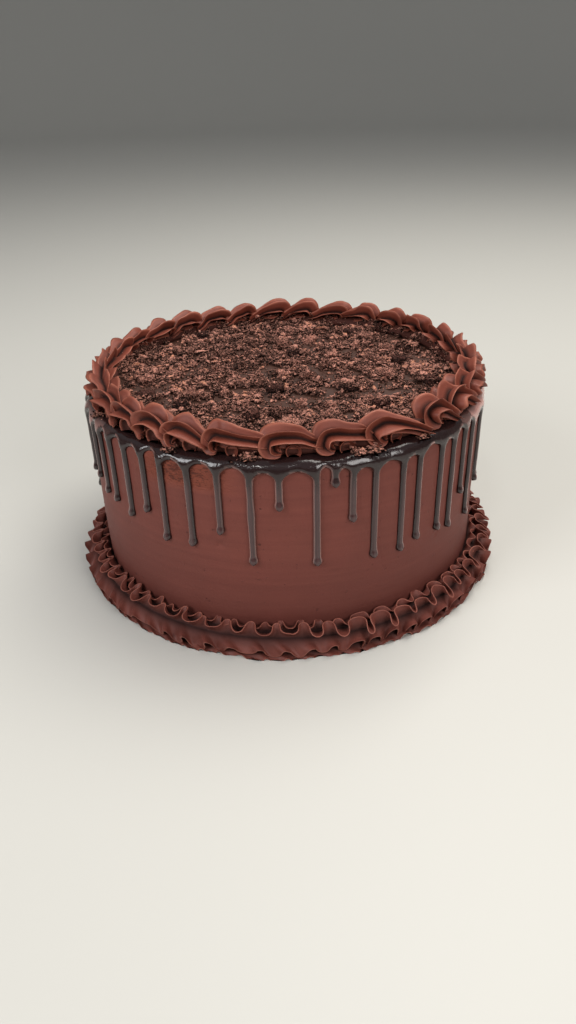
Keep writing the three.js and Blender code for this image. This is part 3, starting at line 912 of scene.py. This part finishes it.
def scatter(name, shape, places, halves, draws, tilt, tones, rough, cell, material, seed, jag=0.0):
    """Copies of one ball, each scaled, spun by its two draws, tilted no more than half of tilt,
    placed and roughened by noise read where it lies; jag pushes every point in or out at random.
    A crumb's tone is painted lighter on top and darker underneath, as painted light and shade."""
    points, faces = shape
    count = len(places)
    local = points[None] * halves[:, None]
    spins = (draws - (0, 0.5)) * (TURN, tilt)
    (cz, cx), (sz, sx) = np.cos(spins).T, np.sin(spins).T
    zero, one = 0 * cz, 1 + 0 * cz
    about_z = np.stack([cz, -sz, zero, sz, cz, zero, zero, zero, one], 1).reshape(-1, 3, 3)
    about_x = np.stack([one, zero, zero, zero, cx, -sx, zero, sx, cx], 1).reshape(-1, 3, 3)
    local = np.einsum("nij,njk,nmk->nmi", about_z, about_x, local)
    place = local + places[:, None]
    # Each crumb reads the noise a step further on, so that neighbours differ
    sample = place.reshape(-1, 3) + np.repeat(np.arange(count), len(points))[:, None] * NOISE_STEP
    push = 1 + rough * rough_noise(sample, cell, seed, 2).reshape(count, -1, 1)
    push = push + jag * (np.random.default_rng(seed).random(push.shape) - 0.5)
    place = local * push + places[:, None]
    place[..., 2] = np.maximum(place[..., 2], LID_TOP - CRUMB_SINK)
    # Painted light and shade: each crumb lighter on top, darker underneath
    painted_top_light = held(0.45 + 0.7 * local[..., 2] / np.abs(local[..., 2]).max(1)[:, None])
    marks = {"tone": (tones[:, None] * (0.05 + 1.1 * painted_top_light**1.5)).ravel()}
    faces = repeat_faces(faces, count, len(points))
    new_piece(name, place.reshape(-1, 3), faces, material, marks, smooth=False)


def lump_table():
    """Places and half sizes of the largest loose crumbs, where the lid's own are: spread by the
    golden angle, clear of the chunks."""
    random = random_from(CRUMB_SEED)
    golden = math.pi * (3 - math.sqrt(5))
    rows = []
    for i in range(CRUMB_COUNT):
        draw = [next(random) for _ in range(18)]  # the lid's own crumbs use all of them
        half = CRUMB_SIZE[0] + (CRUMB_SIZE[1] - CRUMB_SIZE[0]) * draw[0] ** 1.5
        radius = CRUMB_FIELD * math.sqrt((i + 0.5) / CRUMB_COUNT)
        radius = max(radius + (draw[1] - 0.5) * 4 * MM - half / 2, 1 * MM)
        angle = golden * i + math.radians((draw[2] - 0.5) * 8)
        rows.append((radius * math.sin(angle), -radius * math.cos(angle), half))
    rows = np.array(rows)
    low, high = CHUNK_BOXES[..., :2].transpose(1, 0, 2)
    away = np.linalg.norm(rows[:, None, :2] - (low + high) / 2, axis=2)
    return rows[(away > rows[:, 2:3] + (high - low).max(1) / 2).all(1)]


def crumb_lumps(material):
    """The largest loose crumbs, flattened and crumbly."""
    rows = lump_table()
    draw = np.random.default_rng(CRUMB_SEED).random((len(rows), 6))
    places = np.column_stack([rows[:, :2], LID_TOP + rows[:, 2] * 0.12])
    halves = rows[:, 2:] * (draw[:, :3] * (0.3, 0.35, 0.25) + (0.85, 0.6, 0.6))
    scatter("crumb_lumps", ball(3), places, halves, draw[:, 3:5], 0.8, 0.1 + draw[:, 5] * 0.45,
            0.8, 1.3 * MM, material, 81)


def heap_table():
    """What the small crumbs heap up on: place, half width and height of each lump and chunk."""
    lumps = lump_table()
    rows = [np.column_stack([lumps[:, :2], lumps[:, 2] * 1.15, lumps[:, 2] * 0.55])]
    for low, high in CHUNK_BOXES:
        wide = 0.55 * (high - low)[:2].sum() / 2
        rows.append([[*(low + high)[:2] / 2, wide, high[2] - LID_TOP]])
    return np.concatenate(rows)


def ground(place, heaps):
    """Height of the crumbs' ground over the lid: each lump or chunk heaps it up as a dome."""
    away = np.linalg.norm(place[:, None, :2] - heaps[None, :, :2], axis=2) / heaps[None, :, 2]
    return (dome(away) * heaps[None, :, 3]).max(1)


# Patches that are nearly bare of crumbs: x, y and width in mm
BARE = np.array([
    (-22, 4, 13), (-36, -33, 9), (6, -52, 12), (-6, -12, 10), (40, -38, 8), (-58, -35, 7),
    (22, 36, 8),
]) * MM

# Kinds of small crumb: count, smallest and largest size in mm, half sizes along, across and up as
# shares of the size, level of the ball, seed, how high they pile in mm, roughness, tilt in radians
# and range of tones
SMALL_CRUMBS = {
    "crumbs_middle": (2400, (0.7, 1.8), (1.0, 0.7, 0.6), 1, 101, 1.6, 0.7, 1.6, (0.0, 1.0)),
    "crumbs_fine": (9800, (0.35, 1.1), (1.2, 0.7, 0.6), 0, 111, 1.6, 0.5, 2.4, (0.0, 1.0)),
    "crumbs_loose": (9800, (0.3, 0.9), (1.5, 0.6, 0.5), 0, 131, 2.6, 0.5, 2.4, (0.0, 1.0)),
    "flakes": (1900, (0.9, 2.4), (1.2, 0.6, 0.25), 1, 121, 2.2, 0.4, 1.7, (0.05, 0.8)),
}


def density(place, radius, heaps, on_lump):
    """How dense the small crumbs lie: clumps by noise, more near the rim and round the lumps,
    fewer in the bare patches and on the lumps themselves."""
    dense = 0.22 + 1.5 * rough_noise(place, 8 * MM, 101, 3)
    dense = dense + 0.5 * held((radius - 74 * MM) / (14 * MM))
    for x, y, wide in BARE:
        dense = dense - 0.9 * np.exp(-((place[:, 0] - x) ** 2 + (place[:, 1] - y) ** 2) / wide**2)
    dense = dense + 0.7 * held(ground(place, heaps * (1, 1, 2.1, 1)) / (1.5 * MM))
    return np.maximum(dense, 0.07) * (1 - 0.8 * held(on_lump / (0.9 * MM)))


def small_crumbs(material):
    """Many crumbs of each kind over the lid: places are drawn evenly and kept by the density
    there; the crumbs heap up on the lumps and against the shells."""
    heaps = heap_table()
    for name, kind in SMALL_CRUMBS.items():
        count, sizes, shape, level, seed, pile, rough, tilt, tone = kind
        small, large = np.array(sizes) * MM
        draw = np.random.default_rng(seed).random((count * 4, 11))
        radius = CRUMB_REACH * np.sqrt(draw[:, 0])
        place = around(draw[:, 1] * TURN, radius, 0 * radius)
        on_lump = ground(place, heaps)
        dense = density(place, radius, heaps, on_lump)
        heap = np.maximum(on_lump, np.clip((radius - 88.5 * MM) * 1.1, 0, 4 * MM))
        kept = np.flatnonzero(draw[:, 2] < dense)[:count]
        draw, place, dense, heap = draw[kept], place[kept], dense[kept], heap[kept]
        size = small + (large - small) * draw[:, 3] ** 2.0
        halves = size[:, None] * shape * (0.65 + 0.7 * draw[:, 4:7])
        rise = LID_TOP + halves[:, 2] * 0.5 + heap + pile * MM * np.clip(dense, 0, 1.2) * draw[:, 7]
        places = np.column_stack([place[:, :2], rise])
        tones = tone[0] + (tone[1] - tone[0]) * draw[:, 10] ** 1.5
        # Painted shade: crumbs low in a pile are darker; the slow noise varies tone at random
        tones = tones * (0.3 + draw[:, 7]) * (1 + 0.9 * rough_noise(places, 6 * MM, 151, 2))
        scatter(name, ball(level), places, halves, draw[:, 8:10], tilt, held(tones), rough,
                large * 0.9, material, seed, 0.8)


# Where crumbs are caught outside the shells: angle, and path over the rim in mm
STUCK = [
    (-9.5, 0.5), (-30, 1.0), (17.5, 1.0), (22, 2.0), (36.5, 1.5), (-62, 1.0), (80, 1.0), (160, 1.0),
    (231, 1.5),
]
STUCK_EACH = 90


def stuck_crumbs(material):
    """Clusters of crumbs caught between the shells and the drips' rim, thrown about each centre."""
    random = np.random.default_rng(141)
    centres = np.repeat(np.array(STUCK), STUCK_EACH, 0)
    spread = random.normal(0, 1, (len(centres), 3))
    draw = random.random((len(centres), 6))
    arc = np.radians(centres[:, 0]) * WALL_RADIUS + spread[:, 0] * 1.9 * MM
    path = centres[:, 1] * MM + spread[:, 1] * 1.1 * MM
    lift = (2.2 + 0.8 * np.abs(spread[:, 2])) * MM
    halves = (0.4 + 0.9 * draw[:, :1] ** 2) * MM * (0.6 + 0.7 * draw[:, 1:4])
    scatter("crumbs_stuck", ball(1), on_cake(arc, path, lift), halves * (1.1, 0.8, 0.6),
            draw[:, 4:6], 2, draw[:, 1] ** 1.4, 0.5, 1 * MM, material, 143)


def chunk_pieces(material):
    """One detailed chunk for each chunk of the frame, fitted to that chunk's box: a ball squared
    off, pushed in and out by noise, with its top painted lighter as a painted highlight."""
    points, faces = ball(4)
    for number, (low, high) in enumerate(CHUNK_BOXES):
        seed = 90 + number
        sample = points + number * 3.1
        push = 1 + 0.22 * noise(sample, 0.9, seed) + 0.2 * rough_noise(sample, 0.4, seed + 7, 4)
        lump = np.sign(points) * np.abs(points) ** 0.75 * push[:, None]
        lump = lump / np.abs(lump).max(0)
        place = (high + low) / 2 + lump * ((high - low) / 2) * (0.98, 0.98, 1)
        place[:, 2] = np.maximum(place[:, 2], low[2])
        # Painted highlight: the chunk's top is lighter
        tone = lattice(number, 0, 0, 5) * 0.3 + 0.4 * held(lump[:, 2]) ** 2
        name = CHUNKS[number]
        new_piece(name + "_crumbly", place, faces, material, {"tone": tone}, [name])


# Camera, light and floor


CAMERA_PLACE = (0, -0.396, 0.246)
CAMERA_PITCH, CAMERA_ROLL = math.radians(30.49), math.radians(-1.71)

# Lights: name, place, height aimed at, size, power and colour
LIGHTS = [
    ("ceiling_light", (0.4, 0.3, 1.2), 0.08, 0.9, 15, (1.0, 0.96, 0.9)),
    ("window_light", (-1.1, -0.8, 0.9), 0.06, 0.7, 13, (0.97, 0.98, 1.0)),
    ("room_light", (0.9, -1.1, 0.9), 0.06, 0.7, 11.5, (1.0, 0.97, 0.95)),
    ("lamp", (-0.25, -0.75, 1.1), 0.1, 0.12, 1.5, (1.0, 0.98, 0.95)),
]
SURROUND_COLOUR, SURROUND_STRENGTH = (0.86, 0.87, 0.9, 1), 0.3

# Floor: flat out to here, then curved up by a quarter circle
FLOOR_FLAT, FLOOR_CURVE, FLOOR_TOP = 3.0, 1.5, 2.6


def make_camera():
    """The photograph's view: from in front and above, level but for a slight roll."""
    pitch, roll = CAMERA_PITCH, CAMERA_ROLL
    focal_px, long_side_px, sensor = 770, 1024, 36
    data = bpy.data.cameras.new("camera")
    data.sensor_width = sensor
    data.lens = focal_px / long_side_px * sensor
    data.clip_start, data.clip_end = 0.01, 50
    camera = add("camera", data)
    forward = Vector((0, math.cos(pitch), -math.sin(pitch)))
    right = Vector((1, 0, 0))
    up = right.cross(forward)
    across = right * math.cos(roll) + up * math.sin(roll)
    up = up * math.cos(roll) - right * math.sin(roll)
    turned = Matrix((across, up, -forward)).transposed().to_4x4()
    camera.matrix_world = Matrix.Translation(CAMERA_PLACE) @ turned
    bpy.context.scene.camera = camera


def make_light(name, place, aim_height, size, power, colour):
    """A square soft light that faces a point of the cake's axis."""
    data = bpy.data.lights.new(name, "AREA")
    data.size, data.energy, data.color = size, power, colour
    light = add(name, data)
    light.location = place
    light.rotation_mode = "QUATERNION"
    aim = Vector((0, 0, aim_height)) - Vector(place)
    light.rotation_quaternion = aim.to_track_quat("-Z", "Y")


def make_stage():
    """A pale floor that curves up far away, a dim surround and soft lights."""
    scene = bpy.context.scene
    scene.view_settings.view_transform = "Standard"
    world = bpy.data.worlds.new("surround")
    world.use_nodes = True
    background = world.node_tree.nodes["Background"]
    background.inputs["Color"].default_value = SURROUND_COLOUR
    background.inputs["Strength"].default_value = SURROUND_STRENGTH
    scene.world = world
    for light in LIGHTS:
        make_light(*light)
    bend = np.linspace(0, math.pi / 2, 13)[:, None]
    middle, wall = [[0.001], [1.0], [2.0]], [[FLOOR_FLAT + FLOOR_CURVE]]
    reach = np.concatenate([middle, FLOOR_FLAT + FLOOR_CURVE * np.sin(bend), wall])
    height = np.concatenate([[[0]] * 3, FLOOR_CURVE - FLOOR_CURVE * np.cos(bend), [[FLOOR_TOP]]])
    turn = full_turn(96)
    points = around(turn, reach, height).reshape(-1, 3)
    faces = grid_faces(len(reach), len(turn), close_columns=True)
    mesh = bpy.data.meshes.new("floor")
    mesh.from_pydata(points.tolist(), [], faces.tolist())
    mesh.polygons.foreach_set("use_smooth", np.ones(len(mesh.polygons), bool))
    mesh.materials.append(new_material("floor_paint", 0.5, Base_Color=rgb(196, 195, 189))[0])
    floor = add("floor", mesh)


make_camera()
make_stage()
cake_wall(wall_frosting())
ganache_skin(glaze())
# Piping colours: painted groove shade, body, and painted edge highlight
top_border(piped_frosting("rim_piping", rgb(34, 14, 11), rgb(124, 63, 49), rgb(164, 98, 78)))
foot_border(piped_frosting("foot_piping", rgb(46, 22, 19), rgb(112, 60, 51), rgb(142, 84, 70)))
crumb_look = crumb_material("cake_crumb", rgb(12, 6, 5), rgb(252, 178, 156), rgb(235, 160, 112))
crumb_lumps(crumb_look)
small_crumbs(crumb_look)
stuck_crumbs(crumb_look)
chunk_pieces(crumb_material("dark_chunk", rgb(20, 11, 10), rgb(134, 86, 75), rgb(140, 90, 70)))
